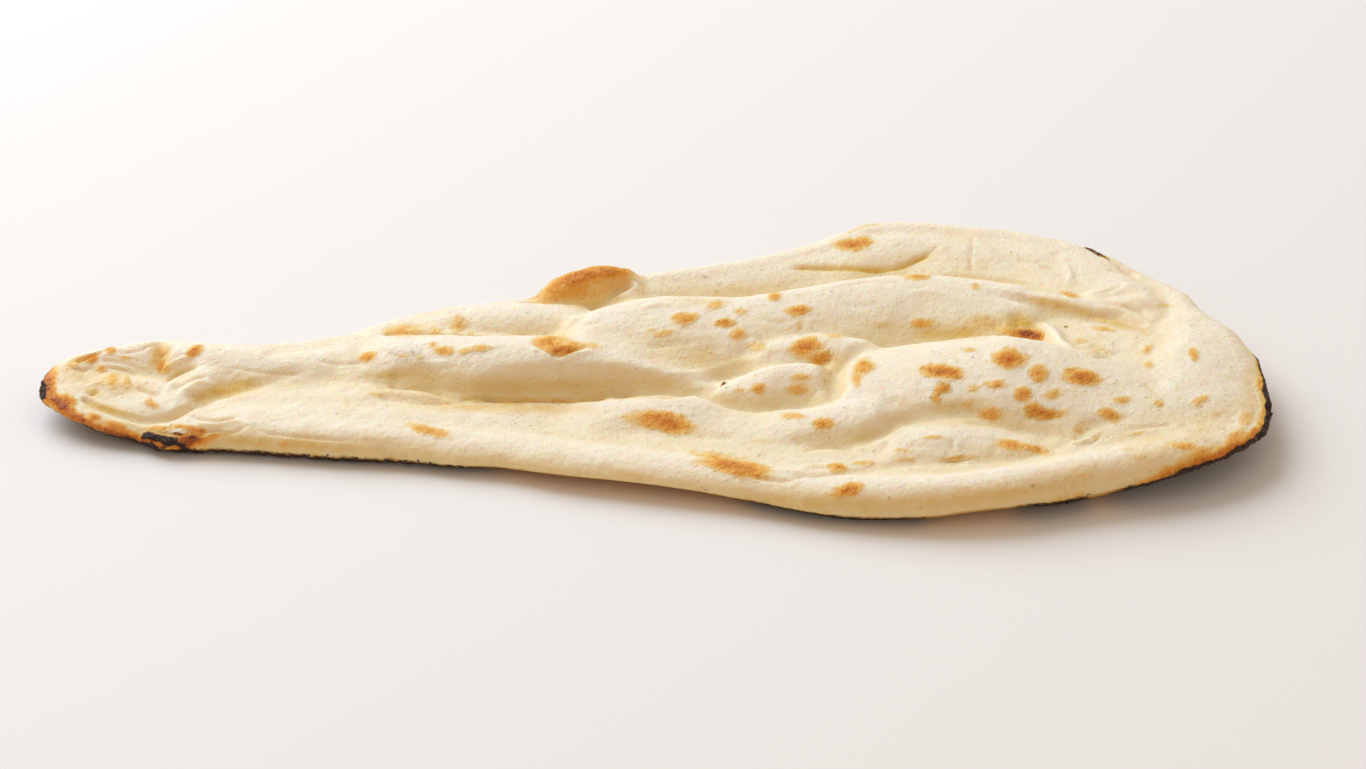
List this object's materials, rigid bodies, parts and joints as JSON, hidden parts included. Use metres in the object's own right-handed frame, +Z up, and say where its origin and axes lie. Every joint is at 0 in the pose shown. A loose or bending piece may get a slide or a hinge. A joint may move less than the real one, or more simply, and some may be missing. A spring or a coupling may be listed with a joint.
{
  "type": "naan bread",
  "caption": "Long leaf-shaped naan with a narrow tail, a broad blistered end, rolled folds and scorched edges, lying flat as baked and ready to eat.",
  "frame": {"origin": "the middle of the footprint, on the surface that the bread lies on", "axes": "+X along the length, from the tail's tip to the broad end; +Y across, towards the edge with the raised blister; +Z up"},
  "size_m": [0.4098, 0.1885, 0.0281],
  "materials": {
    "crust": "pale cream baked dough, soft sheen, with golden and brown blisters and a charred edge"
  },
  "bodies": {
    "root": {"naan": "crust"}
  },
  "joints": []
}
